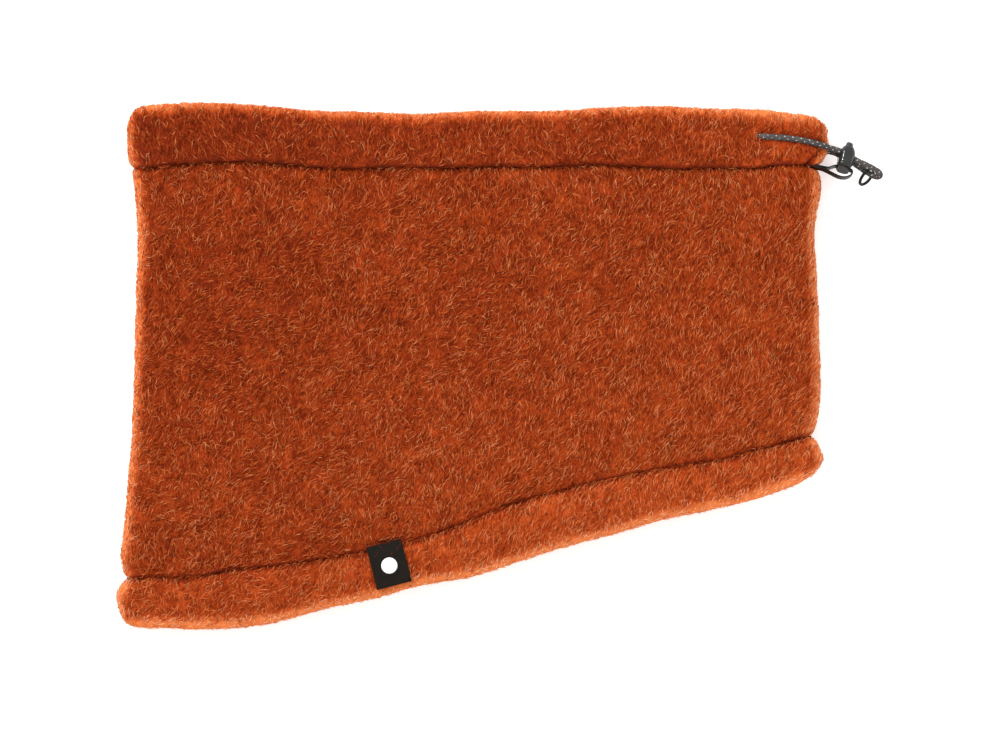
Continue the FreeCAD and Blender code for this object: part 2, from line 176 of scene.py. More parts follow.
def spline_through(points, name, per_run=12):
    """Points in millimetres along the smooth NURBS line that a free cord's route controls."""
    data = bpy.data.curves.new(name, "CURVE")
    data.dimensions = "3D"
    data.resolution_u = per_run
    spline = data.splines.new("NURBS")
    spline.points.add(len(points) - 1)
    for point, (x, y, z) in zip(spline.points, points):
        point.co = (x * MM, y * MM, z * MM, 1)
    spline.order_u = 3
    spline.use_endpoint_u = True
    curve = bpy.data.objects.new(name, data)
    line = bpy.data.meshes.new_from_object(curve)
    found = np.array([v.co for v in line.vertices]) / MM
    bpy.data.objects.remove(curve)
    return found


def spaced(line, step):
    """Points a step apart along a line, from its start to its end."""
    along = np.concatenate([[0], np.cumsum(np.linalg.norm(np.diff(line, axis=0), axis=1))])
    at = np.linspace(0, along[-1], max(3, int(round(along[-1] / step)) + 1))
    return np.stack([np.interp(at, along, line[:, k]) for k in range(3)], axis=1), at


def nearest(points, path):
    """The way to each point from the nearest point of a path, and that point's number."""
    gap = points[:, None] - path[None]
    closest = np.argmin((gap ** 2).sum(-1), axis=1)
    return gap[np.arange(len(points)), closest], closest


def path_frames(line, up):
    """Directions along a line, to its side and over it, carried along without twist."""
    along = unit(np.gradient(line, axis=0))
    over = np.zeros_like(line)
    over[0] = unit(np.asarray(up, float) - along[0] * np.dot(up, along[0]))
    for i in range(1, len(line)):
        over[i] = unit(over[i - 1] - along[i] * np.dot(over[i - 1], along[i]))
    return along, np.cross(along, over), over


def ovals(line, across, over, wide, thick, sides):
    """A ring of points round each point of a line. wide and thick are half its size across and over."""
    turn = np.arange(sides) * 2 * math.pi / sides
    across, over = (np.broadcast_to(way, line.shape)[:, None] for way in (across, over))
    return (line[:, None] + across * (np.cos(turn) * wide)[..., None]
            + over * (np.sin(turn) * thick)[..., None])


def net(rows, columns, closed=False):
    """Faces between rings of points, one ring to a row. A closed net joins its last row to its first."""
    faces = []
    for i in range(rows if closed else rows - 1):
        for j in range(columns):
            k, m = (i + 1) % rows, (j + 1) % columns
            faces.append((i * columns + j, i * columns + m, k * columns + m, k * columns + j))
    return faces


def swept(rings):
    """Points and faces of a closed solid through rings of points, with a flat cap at each end."""
    count, sides = rings.shape[:2]
    caps = [tuple(range(sides))[::-1], tuple((count - 1) * sides + j for j in range(sides))]
    return rings.reshape(-1, 3), net(count, sides) + caps


def joined(parts):
    """One list of points and faces from several, each with its material's number."""
    points, faces, numbers, start = [], [], [], 0
    for part_points, part_faces, number in parts:
        points.append(part_points)
        faces += [tuple(v + start for v in face) for face in part_faces]
        numbers += [number] * len(part_faces)
        start += len(part_points)
    return np.concatenate(points), faces, numbers


# ---- materials


class Nodes:
    """Builds one procedural material round a Principled shader."""

    def __init__(self, name, colour, roughness, **sockets):
        self.material = bpy.data.materials.new(name)
        self.material.use_nodes = True
        self.tree = self.material.node_tree
        self.shader = self.tree.nodes["Principled BSDF"]
        self.shader.inputs["Base Color"].default_value = (*colour, 1)
        self.shader.inputs["Roughness"].default_value = roughness
        for socket, value in sockets.items():
            self.shader.inputs[socket.replace("_", " ")].default_value = value

    def add(self, kind, **values):
        node = self.tree.nodes.new(kind)
        for key, value in values.items():
            if key in node.inputs:
                node.inputs[key].default_value = value
            else:
                setattr(node, key, value)
        return node

    def link(self, out, to):
        self.tree.links.new(out, to)

    def place(self, scale=(1, 1, 1)):
        """Object coordinates in millimetres, stretched by scale."""
        where = self.add("ShaderNodeTexCoord")
        turn = self.add("ShaderNodeMapping")
        turn.inputs["Scale"].default_value = [s / MM for s in scale]
        self.link(where.outputs["Object"], turn.inputs["Vector"])
        return turn.outputs["Vector"]

    def noise(self, size, detail=3.0, scale=(1, 1, 1), distortion=0.0):
        node = self.add("ShaderNodeTexNoise", Scale=1.0 / size, Detail=detail, Distortion=distortion)
        self.link(self.place(scale), node.inputs["Vector"])
        return node.outputs["Fac"]

    def wave(self, direction, scale, distortion):
        node = self.add("ShaderNodeTexWave", wave_type="BANDS", bands_direction=direction, Scale=scale,
                        Distortion=distortion)
        self.link(self.place(), node.inputs["Vector"])
        return node.outputs["Fac"]

    def ramp(self, value, stops):
        node = self.add("ShaderNodeValToRGB")
        elements = node.color_ramp.elements
        while len(elements) < len(stops):
            elements.new(0.5)
        for element, (at, colour) in zip(elements, stops):
            element.position = at
            element.color = (*colour, 1)
        self.link(value, node.inputs["Fac"])
        return node.outputs["Color"]

    def math(self, operation, first, second=0.5):
        node = self.add("ShaderNodeMath", operation=operation)
        for value, socket in ((first, node.inputs[0]), (second, node.inputs[1])):
            if isinstance(value, float):
                socket.default_value = value
            else:
                self.link(value, socket)
        return node.outputs[0]

    def colour(self, value):
        self.link(value, self.shader.inputs["Base Color"])

    def roughness(self, value, low, high):
        node = self.add("ShaderNodeMapRange")
        node.inputs["To Min"].default_value = low
        node.inputs["To Max"].default_value = high
        self.link(value, node.inputs["Value"])
        self.link(node.outputs["Result"], self.shader.inputs["Roughness"])

    def bump(self, value, strength, depth):
        """depth is in millimetres."""
        node = self.add("ShaderNodeBump", Strength=strength, Distance=depth * MM)
        self.link(value, node.inputs["Height"])
        self.link(node.outputs["Normal"], self.shader.inputs["Normal"])


# Colours of the pile's ground, dark to light. The dark end paints shade in pits and seams as well as
# mottling; the light end paints rim light along the outline as well as mottling.
PILE_DARK, PILE_DEEP = srgb(82, 22, 5), srgb(120, 38, 10)
PILE_BASE, PILE_LIGHT = srgb(167, 64, 20), srgb(214, 116, 62)


def fleece_material():
    """The matted ground of the pile: mottled, with painted shade in its pits, lighter or darker where tone
    says so (painted rim light, painted seam shade).
    """
    n = Nodes("fleece_ground", PILE_BASE, 0.95, Specular_IOR_Level=0.1)
    tone = n.add("ShaderNodeAttribute", attribute_name="tone").outputs["Fac"]
    strands = n.noise(0.9, 4.0, (1.0, 0.45, 1.0), 1.4)
    matted = n.noise(3.2, 3.0, distortion=0.8)
    value = n.math("ADD", tone, n.math("MULTIPLY", n.math("SUBTRACT", strands), 0.9))
    value = n.math("ADD", value, n.math("MULTIPLY", n.math("SUBTRACT", matted), 0.35))
    # The ramp paints shade where the bump's strands sink, and takes painted rim light and painted seam shade
    # from tone.
    n.colour(n.ramp(value, [(0.0, PILE_DARK), (0.35, PILE_DEEP), (0.6, PILE_BASE), (1.0, PILE_LIGHT)]))
    n.bump(strands, 0.8, 0.5)
    return n.material


# Each fibre has one of these plain tints. Their spread makes the pile's colour; the lightest also paint rim
# light along the outline, the darker ones paint shade in the seams.
PILE_TINTS = [srgb(96, 26, 6), srgb(134, 44, 11), srgb(164, 61, 19), srgb(186, 78, 28), srgb(206, 98, 43),
              srgb(224, 128, 72), srgb(236, 154, 100), srgb(244, 186, 142)]


def plain_material(name, colour, roughness, pattern, stops, rough=None, relief=None, **sockets):
    """A material with one pattern, a wave or noise, that tints it, and roughens or raises it where asked."""
    n = Nodes(name, colour, roughness, **sockets)
    value = n.wave(*pattern) if isinstance(pattern[0], str) else n.noise(*pattern)
    n.colour(n.ramp(value, stops))
    if rough:
        n.roughness(value, *rough)
    if relief:
        n.bump(value, *relief)
    return n.material


def thread_material(name, colour):
    dark = tuple(0.55 * c for c in colour)
    return plain_material(name, colour, 0.9, ("DIAGONAL", 1.4, 1.0), [(0.2, dark), (0.8, colour)],
                          relief=(0.5, 0.08), Specular_IOR_Level=0.0)


def cord_material():
    n = Nodes("cord_yarn", srgb(84, 80, 77), 0.75, Specular_IOR_Level=0.12)
    fine = n.noise(0.25, 4.0, distortion=1.0)
    patches = n.noise(2.5)
    value = n.math("ADD", n.math("MULTIPLY", fine, 0.7), n.math("MULTIPLY", patches, 0.3))
    n.colour(n.ramp(value, [(0.3, srgb(34, 31, 32)), (0.55, srgb(80, 75, 73)), (0.75, srgb(122, 116, 112))]))
    n.bump(fine, 0.6, 0.06)
    return n.material


def plastic_material(name, colour, tones, spots, distortion, relief):
    """Moulded acetal: satin, with a faint grain and a few rubbed spots."""
    n = Nodes(name, colour, 0.16, Specular_IOR_Level=0.4)
    grain = n.noise(0.35, 5.0)
    n.colour(n.ramp(n.noise(spots, 4.0, distortion=distortion), list(zip((0.3, 0.6, 0.8), tones))))
    n.roughness(grain, 0.1, 0.2)
    n.bump(grain, relief, 0.04)
    return n.material


def label_material():
    """Black damask: fine warp and weft, slightly uneven."""
    n = Nodes("label_satin", srgb(26, 22, 19), 0.7, Specular_IOR_Level=0.06)
    weave = n.math("MULTIPLY", n.wave("X", 0.7, 0.4), n.wave("Y", 0.9, 0.4))
    value = n.math("ADD", n.math("MULTIPLY", weave, 0.6), n.math("MULTIPLY", n.noise(1.6), 0.4))
    n.colour(n.ramp(value, [(0.1, srgb(14, 12, 10)), (0.5, srgb(28, 23, 19)), (0.8, srgb(44, 37, 31))]))
    n.bump(weave, 0.5, 0.06)
    return n.material


FLEECE = fleece_material()
PILE = [Nodes("pile_%d" % number, tint, 0.8, Specular_IOR_Level=0.03).material
        for number, tint in enumerate(PILE_TINTS)]
LINING = plain_material("lining_knit", srgb(150, 56, 22), 0.9, ("X", 0.25, 1.5),
                        [(0.0, srgb(112, 36, 12)), (1.0, srgb(168, 64, 26))], relief=(0.6, 0.3),
                        Sheen_Weight=0.3)
SEAM_THREAD = thread_material("seam_thread", srgb(136, 48, 19))
BLACK_THREAD = thread_material("black_thread", srgb(24, 21, 21))
CORD_YARN = cord_material()
CORD_CORE = thread_material("cord_core", srgb(34, 32, 33))
CORD_FLECK = plain_material("cord_fleck", srgb(232, 228, 222), 0.4, (0.5,),
                            [(0.35, srgb(196, 190, 184)), (0.6, srgb(238, 235, 230))])
TAPE = plain_material("tether_nylon", srgb(10, 8, 8), 0.14, ("DIAGONAL", 1.1, 0.6),
                      [(0.2, srgb(6, 5, 5)), (0.9, srgb(17, 14, 14))], relief=(0.3, 0.05),
                      Specular_IOR_Level=0.3)
RUBBER = plain_material("loop_rubber", srgb(14, 13, 13), 0.45, (0.3, 4.0),
                        [(0.3, srgb(12, 11, 11)), (0.7, srgb(26, 25, 25))], (0.4, 0.62), (0.3, 0.04),
                        Specular_IOR_Level=0.15)
STEEL = plain_material("spring_wire", srgb(180, 180, 184), 0.3, (0.4, 3.0, (0.2, 0.2, 1.0)),
                       [(0.3, srgb(150, 150, 155)), (0.7, srgb(198, 198, 202))], (0.22, 0.42), Metallic=1.0)
LABEL_BLACK = label_material()
LABEL_WHITE = plain_material("label_white", srgb(240, 238, 235), 0.6, ("Y", 0.9, 0.5),
                             [(0.0, srgb(222, 219, 214)), (0.6, srgb(244, 243, 240))], relief=(0.4, 0.05))

# ---- cords

CORD_WIDE = 2.4
CROSSING = np.array([149.4, 83.3, 9.5])      # where the cords cross the lock
LOCK_ROLL = math.radians(30.0)
PLUNGER_PLAN = unit((0.28, 0.96, 0))
LOCK_U = PLUNGER_PLAN * math.cos(LOCK_ROLL) - np.array([0, 0, math.sin(LOCK_ROLL)])
LOCK_V = unit((PLUNGER_PLAN[1], -PLUNGER_PLAN[0], 0))
LOCK_W = np.cross(LOCK_V, LOCK_U)
CORD_T = unit((0.870, -0.493, 0))            # the cords' way through the lock
STACK = unit(LOCK_W - CORD_T * LOCK_W.dot(CORD_T))
STRAND_HALF = 1.25                           # from the crossing to each strand's middle line
FRONT_ROUTE = [(108.2, 91.25, 16.7), (118.4, 90.9, 17.8), (127.2, 90.1, 17.9), (134.2, 88.9, 16.9),
               (139.4, 87.7, 14.2), (143.6, 86.4, 11.3)]
BACK_ROUTE = [(108.2, 91.25, 2.375), (118.4, 90.9, 1.35), (127.2, 90.0, 1.3), (134.2, 88.7, 2.2),
              (139.4, 87.0, 4.6), (143.5, 85.4, 7.2)]
TAIL_SIDE = [(-3.2, STRAND_HALF), (5.0, STRAND_HALF), (8.1, 2.0), (10.9, 2.2)]
TAIL_FOLD = [(14.5, 2.165), (15.75, 0.0), (14.5, -2.165)]


def in_lock(v, u, w):
    """A point by its distances across the lock, along its plunger and through its thickness."""
    return CROSSING + LOCK_V * v + LOCK_U * u + LOCK_W * w


def in_tail(along, over):
    """A point by its distances along the cords' way through the lock and across the stacked cords."""
    return CROSSING + CORD_T * along + STACK * over


def into_lock(over):
    """Two more points of a strand's route, on its last stretch into the lock."""
    return [in_tail(-4.6, over), in_tail(-2.9, over)]


def tail_route():
    """Out of the lock, round the fold and back in."""
    lower = [(a, -b) for a, b in TAIL_SIDE[::-1]]
    return [in_tail(a, b) for a, b in TAIL_SIDE + TAIL_FOLD + lower]


CORE_HALF = 0.92
YARN_HALF = (0.34, 0.13)   # half as wide as a strand, and half as thick
BRAID_PAIRS = 8            # strands each way round
BRAID_PITCH = 9.0
FLECK_STEP = 3.3
FLECK_ROWS = 6


def braid(line, up):
    """A braided cord along a line: a core, two families of crossing strands, and light flecks."""
    line, at = spaced(line, 0.22)
    along, side, over = path_frames(line, up)
    parts = [(*swept(ovals(line, side, over, CORE_HALF, CORE_HALF, 12)), 1)]
    spacing = 2 * math.pi / BRAID_PAIRS
    for way in (1, -1):
        for k in range(BRAID_PAIRS):
            angle = k * spacing + way * 2 * math.pi * at / BRAID_PITCH
            weave = np.cos(2 * math.pi * (2 * math.pi / BRAID_PITCH) * at / spacing)
            radius = 1.0 + 0.09 * way * weave
            radial = over * np.cos(angle)[:, None] + side * np.sin(angle)[:, None]
            centre = line + radial * radius[:, None]
            across = unit(np.cross(unit(np.gradient(centre, axis=0)), radial))
            parts.append((*swept(ovals(centre, across, radial, *YARN_HALF, 5)), 0))
    parts += flecks(line, at, along, side, over)
    return joined(parts), line


def flecks(line, at, along, side, over):
    """Floats of light tracer yarn, in staggered rows."""
    found = []
    share = np.array([-1.0, -0.75, -0.3, 0.3, 0.75, 1.0])
    size = np.sqrt(np.maximum(0.02, 1 - share ** 2))[:, None]
    for row in range(FLECK_ROWS):
        angle = 0.45 + row * 2 * math.pi / FLECK_ROWS
        start = 0.8 + (row % 2) * FLECK_STEP / 2
        for place in np.arange(start, at[-1] - 0.6, FLECK_STEP):
            i = int(np.searchsorted(at, place))
            radial = over[i] * math.cos(angle) + side[i] * math.sin(angle)
            way = unit(along[i] + np.cross(along[i], radial) * (0.7 if row % 2 else -0.7))
            middle = line[i] + radial * (1.06 - 0.05 * share ** 2)[:, None] + way * (0.42 * share)[:, None]
            rings = ovals(middle, np.cross(radial, way), radial, 0.23 * size, 0.14 * size, 6)
            found.append((*swept(rings), 2))
    return found


def settle(piece, node, body_name):
    """Hides the node that the piece stands for, if any, and hangs the piece on the body that carries it."""
    if node:
        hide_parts(node)
    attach(piece, body_name)


def make_cord(name, route, up, node):
    """A braided cord along a route that starts at its exit, with the line that it follows."""
    (points, faces, numbers), path = braid(spline_through(route, name + "_line"), up)
    piece = make_mesh(name, points, faces, [CORD_YARN, CORD_CORE, CORD_FLECK])
    piece.data.polygons.foreach_set("material_index", numbers)
    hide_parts(node)
    return piece, path


front_strand, FRONT_PATH = make_cord("drawcord_front", FRONT_ROUTE + into_lock(STRAND_HALF), (0, 0, 1),
                                     "drawcord_front_strand")
back_strand, BACK_PATH = make_cord("drawcord_back", BACK_ROUTE + into_lock(-STRAND_HALF), (0, 0, 1),
                                   "drawcord_back_strand")
tail, _ = make_cord("drawcord_end", tail_route(), STACK, "drawcord_tail")
for strand in (front_strand, back_strand):
    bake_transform(strand)
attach(tail, "cord_tail")

# ---- the fleece's outline and layers

PILE_DEPTH = 1.1           # the matted ground lies this far below the tips of the pile
SHELL_WALL = 4.4
HEM_WALL = 6.8
LEFT_EDGE = smooth_line([(-110, -141.5), (-103, -141.0), (-96, -142.4), (-90, -141.8), (-86, -139.6),
                         (-80, -141.2), (-70, -140.5), (-55, -139.2), (-36, -137.6), (-12, -136.4),
                         (12, -135.6), (31, -135.2), (55, -134.4), (70, -135.4), (77, -136.2),
                         (84, -137.7), (94, -138.6), (100, -138.6), (110, -138.6)])
RIGHT_EDGE = smooth_line([(-110, 140.0), (-50, 140.0), (-43, 139.6), (-37, 140.4), (-32, 138.2),
                          (-28, 136.2), (-22, 138.0), (-7, 139.2), (7, 138.8), (36, 137.6), (55, 136.8),
                          (71, 139.3), (75, 139.3), (79, 138.0), (82, 140.4), (86, 143.2), (94, 143.6),
                          (100, 143.0), (110, 143.0)])
COLLAR_RIM = smooth_line([(-150, 103.4), (-129, 103.6), (-104, 105.0), (-85, 104.2), (-66, 102.2),
                          (-40, 101.4), (-21, 100.8), (0, 101.8), (36, 102.2), (56, 103.4), (75, 103.8),
                          (94, 102.8), (113, 102.0), (126, 100.4), (150, 99.0)])
COLLAR_SEAM = smooth_line([(-150, 79.0), (-136, 78.6), (-130, 78.4), (-118, 79.6), (-105, 80.5), (-92, 80.8),
                           (-76, 79.6), (-60, 78.4), (-49, 78.0), (-30, 78.6), (-10, 78.2), (12, 79.0),
                           (30, 78.6), (51, 79.6), (66, 78.6), (81, 78.0), (97, 78.4), (114, 78.4),
                           (120, 79.4), (128, 79.8), (135, 79.2), (150, 79.0)])
FOOT_SEAM = smooth_line([(-150, -85.6), (-125, -85.2), (-112, -85.0), (-97, -82.2), (-75, -79.9),
                         (-49, -75.8), (-27, -71.2), (-6, -64.4), (12, -57.0), (36, -50.2), (61, -44.4),
                         (81, -40.8), (97, -38.4), (117, -33.4), (136, -28.4), (150, -25.0)])
FOOT_RIM = smooth_line([(-150, -104.6), (-124, -104.8), (-104, -105.2), (-79, -102.8), (-60, -98.0),
                        (-40, -93.8), (-21, -88.8), (0, -84.8), (17, -79.6), (36, -73.6), (56, -68.2),
                        (75, -62.8), (94, -58.6), (107, -55.2), (120, -51.2), (132, -46.9), (150, -44.0)])
HALF_WIDE = 139.0                           # half of the flat tube, for spacing what goes round it
CORNER_LEFT, CORNER_RIGHT = 11.0, 15.0      # how far from each side fold the rims start to round off
CORNER_DROP = 11.0                          # how far the rims have turned in at the folds


def rounded_rim(rim, x, y_sides, into):
    """A rim's line, turned in towards the fabric at the two side folds."""
    left, right = LEFT_EDGE(y_sides[0]), RIGHT_EDGE(y_sides[1])
    near = np.minimum((x - left) / CORNER_LEFT, (right - x) / CORNER_RIGHT)
    drop = 1 - np.sqrt(np.clip(1 - (1 - np.clip(near, 0, 1)) ** 2.4, 0, 1))
    return rim(x) + into * CORNER_DROP * drop


def around(count, high):
    """For places round the flat tube: how far across, and the way out from the fold's middle line."""
    radius = high / 2
    flat, arc = 2 * HALF_WIDE - 2 * radius, math.pi * radius
    at = np.arange(count) / count * 2 * (flat + arc)
    bends = [0, flat, flat + arc, 2 * flat + arc, 2 * (flat + arc)]
    quarter = math.pi / 2
    return (np.interp(at, bends, [0, 1, 1, 0, 0]),
            np.interp(at, bends, [quarter, quarter, -quarter, -quarter, -3 * quarter]))


FOLD_LOFT, RIM_LOFT = 1.1, 1.4     # how much further out the fleece stands at the folds and rims


def on_tube(across, angle, y, depth, high):
    """A point of the flat tube at a height up it and a depth below its outside."""
    radius = high / 2
    left, right = LEFT_EDGE(y) + radius, RIGHT_EDGE(y) - radius
    x = left + (right - left) * across + (radius - depth + FOLD_LOFT) * np.cos(angle)
    return np.stack([x, y, radius + (radius - depth) * np.sin(angle)], axis=-1)


def fleece_ring(name, section, ends, high, count, material):
    """A closed ring of fleece. section lists (share of the way up, step beyond, depth); ends gives y."""
    across, angle = around(count, high)
    columns = []
    for share, step, depth in section:
        x = on_tube(across, angle, np.zeros(count), depth, high)[:, 0]
        for _ in range(3):
            low, top = ends(x)
            y = low + (top - low) * share + np.sign(top - low) * step
            points = on_tube(across, angle, y, depth, high)
            x = points[:, 0]
        columns.append(points)
    points = np.stack(columns, axis=1)
    faces = net(count, len(section), closed=True)
    if ends(np.zeros(1))[1][0] > 0:
        faces = [face[::-1] for face in faces]
    return make_mesh(name, points.reshape(-1, 3), faces, [material]), points.shape[:2]


def spread(count, low, high):
    """Even places between two ends, without the ends."""
    return [low + (high - low) * (i + 1) / (count + 1) for i in range(count)]


def seam_corner(share, sign, wall):
    """Rows that round a wall's outer edge down into the seam."""
    return [(share, sign * 0.2, wall * 0.72), (share, sign * 0.22, 2.6), (share, sign * 0.4, 1.9),
            (share, sign * 0.9, 1.45), (share, sign * 2.1, PILE_DEPTH)]


def body_section(rows):
    inner = SHELL_WALL - 0.1
    section = seam_corner(0, 1, SHELL_WALL)
    section += [(s, 0, PILE_DEPTH) for s in spread(rows, 0.02, 0.98)]
    section += seam_corner(1, -1, SHELL_WALL)[::-1]
    section += [(1, -0.9, inner)] + [(s, 0, inner) for s in spread(rows // 4, 1, 0)] + [(0, 0.9, inner)]
    return section


def hem_section(rows, tunnel):
    """A layer of fleece folded back on itself at the rim, with the drawcord's tunnel between."""
    middle, half = HEM_WALL / 2, HEM_WALL / 2 - PILE_DEPTH
    section = seam_corner(0, 1, SHELL_WALL)
    section += [(s, 0, PILE_DEPTH) for s in spread(rows, 0.12, 0.84)]
    for degrees in (90, 60, 30, 0, -30, -60, -90):
        turn = math.radians(degrees)
        section.append((1, -PILE_DEPTH - half + half * math.cos(turn), middle - half * math.sin(turn)))
    section += [(s, 0, HEM_WALL - PILE_DEPTH) for s in spread(rows - 1, 0.84, 0.1)]
    section += [(0, 1.4, HEM_WALL - 1.3), (0, 0.6, HEM_WALL - 1.9), (0, 0.8, middle + 0.5)]
    section += [(0.35, 0, middle + 0.3), (0.5, 0, middle + tunnel), (0.65, 0, middle + 0.3),
                (1, -3.6, middle + 0.15), (1, -3.3, middle), (1, -3.6, middle - 0.15),
                (0.65, 0, middle - 0.3), (0.5, 0, middle - tunnel), (0.35, 0, middle - 0.3)]
    return section


def collar_ends(x):
    return COLLAR_SEAM(x), rounded_rim(COLLAR_RIM, x, (94, 94), -1) + RIM_LOFT


def body_ends(x):
    return FOOT_SEAM(x), COLLAR_SEAM(x)


def foot_ends(x):
    return FOOT_SEAM(x), rounded_rim(FOOT_RIM, x, (-96, -40), 1) - RIM_LOFT


AROUND = 150
body, body_shape = fleece_ring("fleece_body", body_section(36), body_ends, BODY_HIGH, AROUND, FLEECE)
collar, collar_shape = fleece_ring("fleece_collar", hem_section(5, 1.3), collar_ends, HEM_HIGH, AROUND,
                                   FLEECE)
foot, foot_shape = fleece_ring("fleece_foot", hem_section(4, 0.3), foot_ends, HEM_HIGH, AROUND, FLEECE)

# ---- cloth simulation

CLOTH_FRAMES = 18
SWELL = 1.1                # the furthest that the pressure may move the fleece
BODY_SEWN = [-2, -1, 0, 1, 2, 40, 41, 42, 43, 44, 45]      # rows of a ring's section that lie in a seam
HEM_SEWN = [-1, 0, 1, 2]


def swell(piece, shape, sewn):
    """Blows the fleece up gently between its seams, as its own loft does. Its sewn rows stay put."""
    before = mesh_points(piece)
    count, wide = shape
    group = piece.vertex_groups.new(name="sewn")
    group.add([i * wide + row % wide for i in range(count) for row in sewn], 1.0, "REPLACE")
    cloth = piece.modifiers.new("loft", "CLOTH")
    settings = cloth.settings
    settings.quality = 4
    settings.mass = 0.3
    settings.tension_stiffness = settings.compression_stiffness = 14
    settings.shear_stiffness = 6
    settings.bending_stiffness = 1.5
    settings.use_pressure = True
    settings.uniform_pressure_force = 4.0
    settings.vertex_group_mass = group.name
    settings.effector_weights.gravity = 0
    cloth.point_cache.frame_start, cloth.point_cache.frame_end = 1, CLOTH_FRAMES
    for number in range(1, CLOTH_FRAMES + 1):
        bpy.context.scene.frame_set(number)
    apply_modifiers(piece)
    bpy.context.scene.frame_set(1)
    piece.vertex_groups.clear()
    move = mesh_points(piece) - before
    size = np.linalg.norm(move, axis=1, keepdims=True)
    set_points(piece, before + move * np.minimum(1, SWELL / np.maximum(size, 1e-6)))


swell(body, body_shape, BODY_SEWN)
swell(collar, collar_shape, HEM_SEWN)
swell(foot, foot_shape, HEM_SEWN)

# ---- fleece surface

FURROW_WIDE = 2.4
UNDER_CORD = 1.3           # from a strand's middle line down to the fleece that it lies on
FURROW_STARTS = (111.8, 115.6)
SAME_LAYER = 6.0           # fleece further than this above or below a strand is left alone


def from_core(points):
    """The way out of the flat collar at each point, and how far out it lies from the middle of the fold."""
    radius = HEM_HIGH / 2
    middle = np.clip(points[:, 0], LEFT_EDGE(points[:, 1]) + radius, RIGHT_EDGE(points[:, 1]) - radius)
    reach = np.stack([points[:, 0] - middle, np.zeros(len(points)), points[:, 2] - radius], axis=1)
    return unit(reach), np.linalg.norm(reach, axis=1)


def furrow(points):
    """Presses the fleece in under the drawcord, where it lies on the collar."""
    for path in (FRONT_PATH, BACK_PATH):
        lying = path[(path[:, 0] > 108) & (path[:, 0] < 143)]
        near = (points[:, 0] > 104) & (points[:, 1] > 80) & (points[:, 1] < 99)
        spots = points[near]
        reach, closest = nearest(spots, lying)
        way, _ = from_core(spots)
        over = (reach * way).sum(1)
        aside = np.sqrt(np.maximum((reach ** 2).sum(1) - over ** 2, 0))
        surface = HEM_HIGH / 2 - PILE_DEPTH - from_core(lying)[1][closest]
        fade = smoothstep(*FURROW_STARTS, spots[:, 0])
        press = np.maximum(surface + UNDER_CORD, 0) * np.exp(-(aside / FURROW_WIDE) ** 2) * fade
        lowered = np.minimum(over, surface - press + 0.35 * (over - surface))
        lowered = np.where(np.abs(over) < SAME_LAYER, lowered, over)
        points[near] = spots + way * (lowered - over)[:, None]
    return points


def from_seams(points):
    """How far each point lies from the nearer of the two seams, in the plan."""
    foot_gap = np.abs(points[:, 1] - FOOT_SEAM(points[:, 0])) * 0.96
    return np.minimum(foot_gap, np.abs(points[:, 1] - COLLAR_SEAM(points[:, 0])))


def from_outline(points):
    """How far each point lies inside the gaiter's outline, in the plan."""
    sides = np.minimum(points[:, 0] - LEFT_EDGE(points[:, 1]), RIGHT_EDGE(points[:, 1]) - points[:, 0])
    rims = np.minimum(COLLAR_RIM(points[:, 0]) - points[:, 1],
                      (points[:, 1] - FOOT_RIM(points[:, 0])) * 0.96)
    return np.minimum(sides, rims)


LABEL_TURN = math.radians(14.6)
LABEL_HINGE = np.array([-35.6, -70.4])
LABEL_WIDE, LABEL_LONG = 14.2, 17.8
LABEL_HIGH = 18.95         # its middle layer at the sewn edge
ACROSS = np.array([math.cos(LABEL_TURN), math.sin(LABEL_TURN)])
DOWN = np.array([math.sin(LABEL_TURN), -math.cos(LABEL_TURN)])


def under_label(points, margin):
    """Whether each point lies below the label."""
    reach = points[:, :2] - LABEL_HINGE
    aside, down = reach @ ACROSS, reach @ DOWN
    inside = (np.abs(aside) < LABEL_WIDE / 2 + margin) & (down > -margin) & (down < LABEL_LONG + margin)
    return inside & (points[:, 2] > BODY_HIGH / 2)


def region_tone(points):
    """How much lighter or darker the pile is from place to place: light at the foot and the right."""
    x, y = points[:, 0], points[:, 1]
    foot, collar = smoothstep(0, -3, y - FOOT_SEAM(x)), smoothstep(0, 3, y - COLLAR_SEAM(x))
    return 0.35 * x / 140 + 0.4 * smoothstep(20, -60, y) + 0.42 * foot - 0.27 * (1 - x / 140) * collar


LOWEST_GROUND, UNDER_LABEL = 0.35, 18.4     # heights that the ground stays over, and under the label


